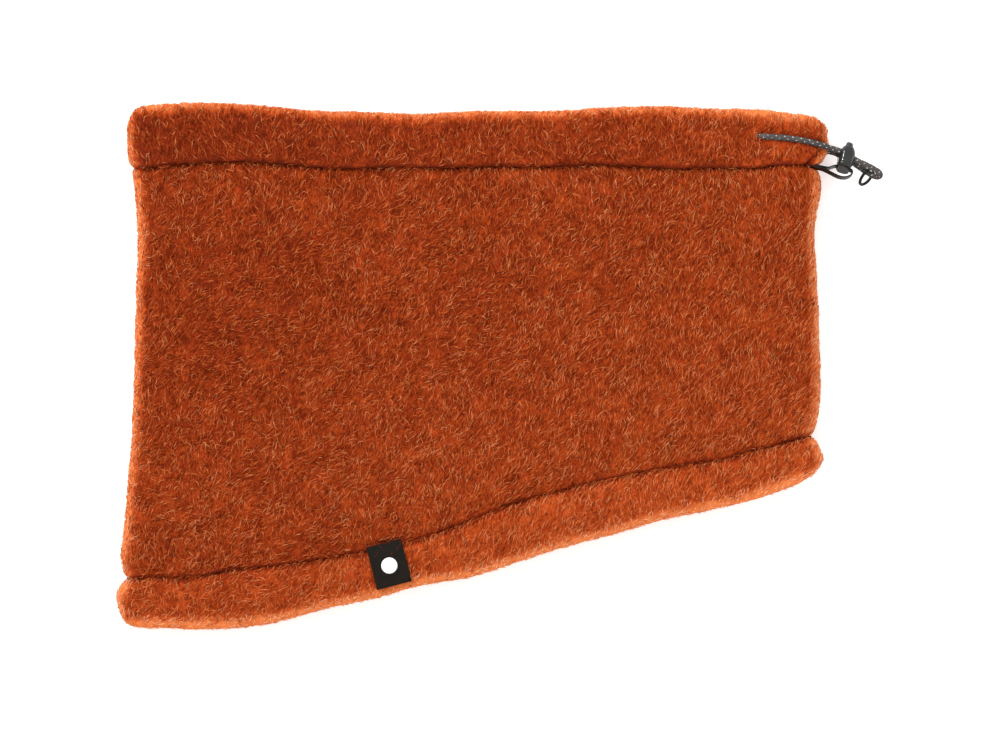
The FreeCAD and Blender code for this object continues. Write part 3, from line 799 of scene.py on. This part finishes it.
def shape_fleece(piece):
    """Gives the ground its soft waves, tucks beside the seams, lumps and pits."""
    level = piece.modifiers.new("fine", "SUBSURF")
    level.levels = level.render_levels = 2
    apply_modifiers(piece)
    points, normals = mesh_points(piece), mesh_normals(piece)
    seam = from_seams(points)
    flat = np.abs(normals[:, 2])
    plan = points * (1, 1, 0.35)
    waves = 0.55 * noise(plan, 46, 3) + 0.35 * noise(plan, 19, 4)
    tucks = 0.45 * noise(plan * (1, 0.25, 1), 8, 5) * np.exp(-((seam - 4.5) / 4.5) ** 2)
    lumps = 0.26 * noise(points, 4.2, 6) + 0.22 * noise(points, 1.9, 7)
    outside = smoothstep(1.9, 1.2, depth_of(points, normals))
    points = points + normals * ((waves * flat + tucks + lumps) * (0.25 + 0.75 * outside))[:, None]
    points = furrow(points)
    highest = np.where(under_label(points, 1.5), UNDER_LABEL, HEM_HIGH * 2)
    points[:, 2] = np.clip(points[:, 2], LOWEST_GROUND, highest)
    set_points(piece, points)
    tone = 0.40 + 0.03 * noise(plan, 17, 8) + 0.1 * noise(plan, 5, 9) + 0.16 * region_tone(points)
    # Painted rim light: the ground lightens within 6 mm of the outline. Painted shade: it darkens in the
    # seams.
    tone += 0.6 * smoothstep(6.0, 0.8, from_outline(points)) - 0.25 * smoothstep(2.0, 0.5, seam)
    attribute = piece.data.attributes.new("tone", "FLOAT", "POINT")
    attribute.data.foreach_set("value", tone.astype(np.float32))
    piece.data.polygons.foreach_set("use_smooth", [True] * len(piece.data.polygons))


def depth_of(points, normals):
    """How deep each point lies in the fleece, from the way that it faces: just under the pile, or inside."""
    outward = (points[:, 2] - HEM_HIGH / 2) * normals[:, 2] + np.sign(points[:, 0]) * normals[:, 0]
    return np.where(outward > 0.3, PILE_DEPTH, SHELL_WALL)


for piece in (body, collar, foot):
    shape_fleece(piece)

# ---- pile


def comb(points, rng):
    """The way that each fibre lies, as an angle in the plan."""
    x, y = points[:, 0], points[:, 1]
    lower_right = smoothstep(-40, 90, x - 0.8 * y)
    upper = smoothstep(40, 80, y)
    angle = 52 + 22 * lower_right + 30 * upper
    swirl = 34 * noise(points, 15, 21) + 26 * noise(points, 6, 22)
    steady = 1 - 0.45 * lower_right
    return np.radians(angle + swirl * steady + rng.normal(0, 26, len(points)) * steady)


def scatter(piece, count, rng, density):
    """Places spread over a piece's mesh, thicker where density says, with their normals."""
    piece.data.calc_loop_triangles()
    corners = np.array([triangle.vertices[:] for triangle in piece.data.loop_triangles])
    points, normals = mesh_points(piece), mesh_normals(piece)
    a, b, c = (points[corners[:, k]] for k in range(3))
    cross = np.cross(b - a, c - a)
    weight = np.linalg.norm(cross, axis=1) * density((a + b + c) / 3, unit(cross))
    share = np.cumsum(weight) / weight.sum()
    chosen = np.searchsorted(share, rng.random(count))
    u, v = rng.random(count), rng.random(count)
    flip = u + v > 1
    u, v = np.where(flip, 1 - u, u), np.where(flip, 1 - v, v)
    w = 1 - u - v
    mixed = [points[corners[chosen, k]] * s[:, None] for k, s in enumerate((w, u, v))]
    facing = [normals[corners[chosen, k]] * s[:, None] for k, s in enumerate((w, u, v))]
    return sum(mixed), unit(sum(facing))


# Root, middle and tip: the share of the length, and the height as a share of the lift.
FIBRE_STEPS = ((0.0, -0.35), (0.5, 0.95), (1.0, 0.8))
LOWEST_FIBRE = 0.12        # above the table


def put_back(tree, spots, facing):
    """Puts points back on the surface and turns what they face most of the way to its normal there."""
    for i, spot in enumerate(spots):
        place, normal, _, _ = tree.find_nearest(Vector(spot * MM))
        spots[i] = np.array(place) / MM
        facing[i] = facing[i] * 0.4 + np.array(normal) * 0.6


def fibre_lines(piece, roots, normals, angle, length, curl, lift):
    """Root, middle and tip of each fibre, kept close to the piece's surface."""
    tree = BVHTree.FromObject(piece, bpy.context.evaluated_depsgraph_get())
    lines = np.zeros((len(roots), len(FIBRE_STEPS), 3))
    spot, facing, last = roots.copy(), normals.copy(), 0.0
    for j, (step, height) in enumerate(FIBRE_STEPS):
        heading = angle + curl * (step + last) / 2
        way = np.stack([np.cos(heading), np.sin(heading), np.zeros(len(roots))], axis=1)
        flat = way - facing * (way * facing).sum(1, keepdims=True)
        size = np.linalg.norm(flat, axis=1, keepdims=True)
        down = np.array([0, 0, -1.0]) + facing * facing[:, 2:3]
        flat = unit(np.where(size > 0.35, flat / np.maximum(size, 1e-6), down))
        spot = spot + flat * (length * (step - last))[:, None]
        last = step
        if j:
            put_back(tree, spot, facing)
        facing = unit(facing)
        lines[:, j] = spot + facing * (lift * height)[:, None]
    lines[:, :, 2] = np.maximum(lines[:, :, 2], LOWEST_FIBRE)
    return lines


def fibre_mesh(name, lines, radius, tints):
    """Thin three-sided fibres that taper to a point."""
    count = len(lines)
    along = unit(np.gradient(lines, axis=1))
    side = unit(np.cross(along, np.array([0.15, 0.1, 1.0])))
    over = np.cross(side, along)
    corners = []
    for corner in range(3):
        turn = math.pi / 2 + corner * 2 * math.pi / 3
        offset = side * math.cos(turn) + over * math.sin(turn)
        corners.append(lines[:, :2] + offset[:, :2] * radius[:, None, None])
    points = np.concatenate([np.stack(corners, axis=2).reshape(count, 6, 3), lines[:, 2:]], axis=1)
    start = np.arange(count)[:, None, None] * 7
    sides = [(j, (j + 1) % 3, 3 + (j + 1) % 3, 3 + j) for j in range(3)]
    ends = [(3 + j, 3 + (j + 1) % 3, 6) for j in range(3)] + [(2, 1, 0)]
    quads, triangles = ((np.array(part) + start).reshape(-1, len(part[0])) for part in (sides, ends))
    piece = make_mesh(name, points.reshape(-1, 3), quads.tolist() + triangles.tolist(), PILE)
    numbers = np.concatenate([np.repeat(tints, len(sides)), np.repeat(tints, len(ends))])
    piece.data.polygons.foreach_set("material_index", numbers)
    return piece


CORD_CLEAR = 116.4         # the pile hides a strand's start up to here


def beside_cord(points, reach):
    """Whether each point lies in the furrow of a strand of the drawcord."""
    near = np.zeros(len(points), bool)
    close = (points[:, 0] > 108) & (points[:, 1] > 80)
    for path in (FRONT_PATH, BACK_PATH):
        gap, _ = nearest(points[close], path[path[:, 0] > CORD_CLEAR])
        near[close] |= (gap ** 2).sum(1) < reach ** 2
    return near


TAPE_ROOT = np.array([138.2, 78.9, 0])      # the lock swings about the upright line through this point
TAPE_SWINGS = np.radians((-12, -6, 0, 6, 12))
TAPE_REACH = 2.1                            # pile this near the tape's middle line would touch it
TAPE_SEARCH = 12.0                          # all of that pile lies this near the root
TETHER_OVER = -1.3


def beside_tape(lines):
    """Whether a fibre lies where the tether tape passes as the lock swings."""
    points = np.concatenate([lines, (lines[:, 1:] + lines[:, :-1]) / 2], axis=1)
    near = np.zeros(points.shape[:2], bool)
    close = np.linalg.norm((points - TAPE_ROOT)[:, :, :2], axis=2) < TAPE_SEARCH
    tape = np.array([in_lock(v, -8.0, TETHER_OVER) for v in np.linspace(-13.5, -4, 24)]) - TAPE_ROOT
    for turn in TAPE_SWINGS:
        c, s = math.cos(turn), math.sin(turn)
        swung = tape @ np.array([[c, s, 0], [-s, c, 0], [0, 0, 1]]) + TAPE_ROOT
        gap, _ = nearest(points[close], swung)
        near[close] |= (gap ** 2).sum(1) < TAPE_REACH ** 2
    return near.any(axis=1)


def pile_density(back, inner):
    """How thick the pile grows at each place: all of it on the front, a share on the back and inside."""
    def density(points, normals):
        value = np.where(normals[:, 2] < -0.45, back, 1.0)
        facing_in = (points[:, 2] - HEM_HIGH / 2) * normals[:, 2] < -0.5
        side_in = (np.sign(points[:, 0]) * normals[:, 0] < -0.5) & (np.abs(points[:, 0]) > 118)
        value = np.where(facing_in | side_in, inner, value)
        value = value * (0.6 + 0.4 * smoothstep(0.2, 1.3, from_seams(points)))
        return value * ~under_label(points, -0.6) * ~beside_cord(points, 1.5)
    return density


MIDDLE_SHADE, SHADE_SPREAD, TOP_SHADE = 2.85, 1.75, 5.6      # numbers in PILE_TINTS
KNIT_RIB = 2.9


def tint_numbers(points, rng):
    """Each fibre's shade: soft patches, faint knitted ribs, painted rim light at the outline, painted shade
    in the seams.
    """
    plan = points * (1, 1, 0.35)
    x, y = points[:, 0], points[:, 1]
    shade = MIDDLE_SHADE + 0.15 * noise(plan, 40, 10) + 0.15 * noise(plan, 14, 8) + 0.5 * noise(plan, 3.0, 9)
    shade += region_tone(points)
    knit = np.sin(2 * math.pi * x / KNIT_RIB + 2.5 * noise(plan, 11, 12))
    shade += 0.55 * knit * np.maximum(smoothstep(20, 70, y), smoothstep(70, 120, x))
    shade = np.minimum(shade + rng.normal(0, SHADE_SPREAD, len(points)), TOP_SHADE)
    # Painted rim light: fibres near the outline take lighter tints. Painted shade: fibres in the seams take
    # darker ones.
    shade += 3.0 * smoothstep(6.0, 0.8, from_outline(points))
    shade -= smoothstep(1.5, 0.3, from_seams(points))
    return np.clip(np.round(shade), 0, len(PILE_TINTS) - 1).astype(int)


MOST_FIBRES = 16000        # in one mesh


def grow_pile(piece, name, count, seed, back, inner):
    """Covers a ring of fleece with fibres, in meshes of no more than MOST_FIBRES."""
    rng = np.random.default_rng(SEED + seed)
    roots, normals = scatter(piece, count, rng, pile_density(back, inner))
    rim = smoothstep(5.0, 0.5, from_outline(roots))
    length = rng.uniform(2.4, 5.4, count) * (1 - 0.6 * rim)
    curl = rng.normal(0, 0.8, count)
    lift = rng.uniform(0.5, 1.1, count) * PILE_DEPTH * (1 - 0.55 * rim)
    lines = fibre_lines(piece, roots, normals, comb(roots, rng), length, curl, lift)
    keep = ~under_label(lines.max(axis=1), 0.2) & ~beside_tape(lines)
    keep &= ~beside_cord(lines[:, 1], 1.4) & ~beside_cord(lines[:, 2], 1.3)
    lines = lines[keep]
    radius = (rng.uniform(0.055, 0.115, count) * (1 + 0.4 * rim))[keep]
    tints = tint_numbers(roots, rng)[keep]
    for number, start in enumerate(range(0, len(lines), MOST_FIBRES)):
        part = slice(start, start + MOST_FIBRES)
        fibres = fibre_mesh("%s_%d" % (name, number + 1), lines[part], radius[part], tints[part])
        settle(fibres, None, "gaiter")


grow_pile(body, "pile_body", 66000, 1, 0.14, 0.0)
grow_pile(collar, "pile_collar", 22000, 2, 0.16, 0.12)
grow_pile(foot, "pile_foot", 19000, 3, 0.16, 0.12)

# ---- lining


def lining_section(rows):
    outer, inner = 4.8, 5.6
    section = [(0, 0.5, outer)] + [(s, 0, outer) for s in spread(rows, 0, 1)] + [(1, -0.5, outer)]
    section += [(1, -0.5, inner)] + [(s, 0, inner) for s in spread(rows, 1, 0)] + [(0, 0.5, inner)]
    return section


lining, _ = fleece_ring("knit_lining", lining_section(12), body_ends, BODY_HIGH, AROUND, LINING)

# ---- stitches


def stitch(line, over, radius):
    """One stitch of thread along a short line, pulled down at both ends."""
    share = np.linspace(-1, 1, len(line))
    size = radius * np.sqrt(np.maximum(0.05, 1 - share ** 4))[:, None]
    line = line - over * (0.22 * share ** 2)[:, None]
    side = unit(np.cross(np.gradient(line, axis=0), over))
    return (*swept(ovals(line, side, over, size, size, 6)), 0)


def sewn_piece(name, stitches, material, node):
    """One piece of the gaiter's body from many stitches."""
    points, faces, _ = joined(stitches)
    settle(make_mesh(name, points, faces, [material]), node, "gaiter")


STITCH_DEPTH, STITCH_STEP, STITCH_RUN = 2.1, 3.3, 2.7


def seam_stitches(seam):
    """Stitches end to end round the flat tube, down in a seam."""
    across, angle = around(2400, BODY_HIGH)
    x = on_tube(across, angle, seam((2 * across - 1) * 136), STITCH_DEPTH, BODY_HIGH)[:, 0]
    line = on_tube(across, angle, seam(x), STITCH_DEPTH, BODY_HIGH)
    over = np.stack([np.cos(angle), 0 * angle, np.sin(angle)], axis=1)
    line, over = (np.concatenate([values, values[:1]]) for values in (line, over))
    along = np.concatenate([[0], np.cumsum(np.linalg.norm(np.diff(line, axis=0), axis=1))])
    found = []
    for start in np.arange(0, along[-1] - STITCH_RUN, STITCH_STEP):
        at = np.linspace(start, start + STITCH_RUN, 5)
        part = [np.stack([np.interp(at, along, values[:, k]) for k in range(3)], axis=1)
                for values in (line, over)]
        found.append(stitch(part[0], unit(part[1]), 0.28))
    return found


EYELET_IN, EYELET_OUT = (3.0, 1.75, 0), (3.9, 2.7, 0)


def eyelet(height, up, path):
    """Satin stitches round the slit that the cord leaves by, open where the cord runs over the edge."""
    found = []
    centre = np.array([113.6, 91.2, height])
    for turn in np.arange(34) * 2 * math.pi / 34:
        rim = np.array([math.cos(turn), math.sin(turn), 0])
        line = np.linspace(centre + rim * EYELET_IN, centre + rim * EYELET_OUT, 5)
        if np.linalg.norm(nearest(line, path)[0], axis=1).min() > CORD_WIDE / 2 + 0.35:
            found.append(stitch(line, np.array([0, 0, up]), 0.24))
    return found


sewn_piece("collar_seam_stitches", seam_stitches(COLLAR_SEAM), SEAM_THREAD, "collar_seam_stitching")
sewn_piece("foot_seam_stitches", seam_stitches(FOOT_SEAM), SEAM_THREAD, "foot_seam_stitching")
sewn_piece("front_eyelet", eyelet(17.3, 1.0, FRONT_PATH), SEAM_THREAD, "front_buttonhole")
sewn_piece("back_eyelet", eyelet(1.7, -1.0, BACK_PATH), SEAM_THREAD, "back_buttonhole")

# ---- label


def on_label(aside, down, over):
    """A point of the label, a height over its middle layer. It rises off the body and onto the foot hem."""
    aside, down, over = np.broadcast_arrays(*(np.asarray(v, float) for v in (aside, down, over)))
    plan = LABEL_HINGE + aside[..., None] * ACROSS + down[..., None] * DOWN
    rise = LABEL_HIGH + 0.62 * smoothstep(0.5, 5.5, down) + 0.1 * np.sin(aside * 0.5 + down * 0.3)
    rise += 0.22 * smoothstep(11, 18, down) * (np.abs(aside) / 7) ** 2
    return np.concatenate([plan, (rise + over)[..., None]], axis=-1)


def woven_label():
    """A strip of damask with a thicker heat-cut bead along its two sides."""
    columns, rows, half = 36, 44, 0.2
    aside = np.linspace(-1, 1, columns)
    down = np.linspace(0.02, 1, rows) * LABEL_LONG
    bead = half * (1 + 0.45 * smoothstep(0.90, 0.98, np.abs(aside))) * np.sqrt(1 - 0.75 * aside ** 40)
    wide = LABEL_WIDE / 2 + 0.06 * np.sin(down * 2.3) + 0.04 * np.sin(down * 5.1)
    side = aside[None] * wide[:, None]
    top, low = (on_label(side, down[:, None], over[None]) for over in (bead, -bead))
    rings = np.concatenate([top, low[:, ::-1]], axis=1)
    faces = [face[::-1] for face in net(rows, 2 * columns)]
    for j in range(columns - 1):
        end = (j, j + 1, 2 * columns - 2 - j, 2 * columns - 1 - j)
        faces += [end, tuple(2 * columns * (rows - 1) + v for v in end[::-1])]
    return make_mesh("damask_label", rings.reshape(-1, 3), faces, [LABEL_BLACK])


DISC_HALF, DISC_DOWN = 3.2, 9.6


def disc():
    """A plain round mark of close floats, raised a little from the label."""
    steps = np.arange(1, 8) / 7
    turn = np.arange(56) * 2 * math.pi / 56
    layers = [(share, 0.2 + 0.11 * math.sqrt(1 - share ** 6)) for share in steps]
    layers += [(share, 0.2 - 0.02) for share in steps[::-1]]
    rings = [on_label(DISC_HALF * share * np.cos(turn), DISC_DOWN + DISC_HALF * share * np.sin(turn), over)
             for share, over in layers]
    return make_mesh("label_disc", *swept(np.array(rings)), [LABEL_WHITE])


def lint():
    """A few stray fibres of the fleece that lie on the label's upper part."""
    rng = np.random.default_rng(SEED + 9)
    found = []
    for _ in range(7):
        aside, down = rng.uniform(-5.5, 5.5), rng.uniform(0.9, 5.6)
        heading, bend = rng.uniform(0, 2 * math.pi), rng.normal(0, 0.9)
        run = np.linspace(0, rng.uniform(1.6, 3.6), 7)
        turn = heading + bend * run
        a = np.clip(aside + np.cumsum(np.cos(turn)) * run[1], -6.6, 6.6)
        d = np.clip(down + np.cumsum(np.sin(turn)) * run[1], 0.3, 6.2)
        line = on_label(a, d, 0.42)
        side = unit(np.cross(np.gradient(line, axis=0), UP))
        found.append((*swept(ovals(line, side, UP, 0.04, 0.04, 4)), 0))
    points, faces, _ = joined(found)
    return make_mesh("label_lint", points, faces, [PILE[1]])


def label_stitches():
    """Small whip stitches of black thread over the label's top edge."""
    found = []
    for aside in np.linspace(-6.3, 6.3, 12):
        down = np.linspace(-0.95, -0.1, 5)
        line = on_label(aside + 0.25 * down, down, -0.45)
        found.append(stitch(line, UP, 0.18))
    return found


label = woven_label()
mark = disc()
stray = lint()
settle(label, "woven_label", "label")
settle(mark, "label_mark", "label")
settle(stray, None, "label")
sewn_piece("label_stitches", label_stitches(), BLACK_THREAD, "label_stitching")

# ---- tether

TETHER_ROUTE = [(-13.2, -8.7), (-11.2, -8.4), (-8.8, -8.0), (-6.3, -8.3), (-3.4, -9.1), (-0.4, -9.7),
                (2.2, -8.9), (3.9, -7.1), (3.9, -5.6), (3.2, -4.65), (-2.4, -4.65), (-4.2, -5.5),
                (-5.6, -7.0), (-8.2, -7.25), (-10.9, -7.7), (-12.8, -8.0)]
TAPE_WIDE, TAPE_THICK = 2.36, 0.72


def tether():
    """Flat woven tape with thicker edges, as one closed strip along the tether's route."""
    line = spline_through([in_lock(v, u, TETHER_OVER) for v, u in TETHER_ROUTE], "tether_line", 10)
    line, at = spaced(line, 0.25)
    along = unit(np.gradient(line, axis=0))
    across = unit(np.cross(along, LOCK_W))
    turn = np.arange(20) * math.pi / 10
    wide = np.sign(np.cos(turn)) * np.abs(np.cos(turn)) ** 0.6
    thick = np.sign(np.sin(turn)) * np.abs(np.sin(turn)) ** 0.7
    thick = TAPE_THICK / 2 * thick * (0.72 + 0.28 * smoothstep(0.55, 0.95, np.abs(wide)))
    ribs = 1 + 0.07 * np.sin(2 * math.pi * at / 0.9)
    ribs += 0.6 * smoothstep(5.5, 1.0, np.minimum(at, at[-1] - at))
    rings = (line[:, None] + LOCK_W * (TAPE_WIDE / 2 * wide)[:, None]
             + across[:, None] * (thick * ribs[:, None])[..., None])
    return make_mesh("tether_ribbon", *swept(rings), [TAPE])


ribbon = tether()
settle(ribbon, "tether_tape", "cord_lock")


LOOP_AT, LOOP_SLACK, LOOP_HALF, LOOP_LONG, LOOP_THICK = 11.2, 0.7, 2.8, 8.0, 1.2
LOOP_HANG = np.array([-0.435, -0.768, -0.469])
LOOP_LEAN = math.radians(52.0)


def pull_ring():
    """A moulded rubber ring: a long loop of round section, a little thicker than its core."""
    hang = unit(LOOP_HANG - CORD_T * LOOP_HANG.dot(CORD_T))
    side = unit(CORD_T * math.cos(LOOP_LEAN) + np.cross(CORD_T, hang) * math.sin(LOOP_LEAN))
    high = in_tail(LOOP_AT, -TAIL_SIDE[-1][1]) - hang * (CORD_WIDE / 2 + 0.45 + LOOP_SLACK)
    way = np.cross(hang, side)
    turn, corner = (np.arange(count) * 2 * math.pi / count for count in (96, 14))
    out = side * np.sin(turn)[:, None] - hang * np.cos(turn)[:, None]
    end = np.where(np.cos(turn) > 0, LOOP_HALF, LOOP_LONG - LOOP_HALF)
    down = LOOP_LONG / 2 + (end - LOOP_LONG / 2) * np.abs(np.cos(turn)) ** 0.5
    radius = LOOP_THICK / 2 + 0.03 * np.cos(2 * corner)
    rings = ovals(high + hang * down[:, None] + out * LOOP_HALF, out, way, radius, radius, 14)
    return make_mesh("rubber_ring", rings.reshape(-1, 3), net(96, 14, closed=True), [RUBBER])


ring = pull_ring()
settle(ring, "pull_loop", "pull_loop")


def bartack():
    """Close stitches across the tape's two ends, in the side seam."""
    found = []
    for k in range(9):
        z = 12.6 + (k - 4) * 0.29
        line = np.linspace((135.0 + 0.06 * (k % 2), 78.55, z), (135.8, 79.45, z), 5)
        found.append(stitch(line, np.array([1.0, 0, 0]), 0.17))
    return found


sewn_piece("tether_stitches", bartack(), BLACK_THREAD, "tether_bartack")

# ---- what rides where

settle(body, "shell_body", "gaiter")
settle(collar, "top_hem", "gaiter")
settle(foot, "bottom_hem", "gaiter")
settle(lining, "lining_tube", "gaiter")

# ---- materials of the kept CAD pieces

CASE_TONES = [srgb(20, 22, 20), srgb(29, 32, 29), srgb(40, 44, 40)]
BUTTON_TONES = [srgb(24, 27, 24), srgb(36, 40, 36), srgb(48, 52, 48)]
NODE_MATERIALS = {
    "drawcord_in_hem": CORD_CORE,
    "cord_anchor_bartack": BLACK_THREAD,
    "side_seam_stitching": SEAM_THREAD,
    "lock_housing": plastic_material("lock_plastic", srgb(34, 37, 34), CASE_TONES, 3.0, 0.6, 0.25),
    "lock_plunger": plastic_material("button_plastic", srgb(42, 46, 42), BUTTON_TONES, 2.2, 0.5, 0.2),
    "lock_spring": STEEL,
}
for node, material in NODE_MATERIALS.items():
    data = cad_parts[node].data
    data.materials.clear()
    data.materials.append(material)
for node in ("lock_housing", "lock_plunger"):
    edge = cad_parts[node].modifiers.new("moulded_edge", "BEVEL")
    edge.width, edge.segments, edge.limit_method, edge.angle_limit = 0.35 * MM, 4, "ANGLE", math.radians(25)

# ---- floor and light


def make_stage():
    """A pale table, lit a little from below as a light table is, so that shadows stay short."""
    n = Nodes("floor", (0.9, 0.9, 0.9), 0.9, Emission_Color=(1, 1, 1, 1), Emission_Strength=0.28)
    floor = make_mesh("floor", np.array([(-1, -1, 0), (1, -1, 0), (1, 1, 0), (-1, 1, 0)]) * 3000,
                      [(0, 1, 2, 3)], [n.material], smooth=False)
    world = bpy.data.worlds.new("studio")
    world.use_nodes = True
    world.node_tree.nodes["Background"].inputs["Color"].default_value = (1, 1, 1, 1)
    world.node_tree.nodes["Background"].inputs["Strength"].default_value = 1.1
    bpy.context.scene.world = world


def make_light(name, place, aim, size, power):
    data = bpy.data.lights.new(name, "AREA")
    data.shape = "DISK"
    data.size, data.energy = size, power
    light = bpy.data.objects.new(name, data)
    light.location = place
    light.rotation_mode = "QUATERNION"
    light.rotation_quaternion = (Vector(aim) - Vector(place)).to_track_quat("-Z", "Y")
    bpy.context.scene.collection.objects.link(light)


make_stage()
make_light("key", (-0.7, 0.9, 1.1), (0, 0, 0), 0.7, 16.0)
make_light("glint", (-0.12, 1.02, 0.43), (0.1, 0.05, 0), 0.1, 3.8)
make_light("fill", (0.9, -0.5, 1.3), (0, 0, 0), 1.0, 3.0)
bpy.context.scene.view_settings.view_transform = "Standard"
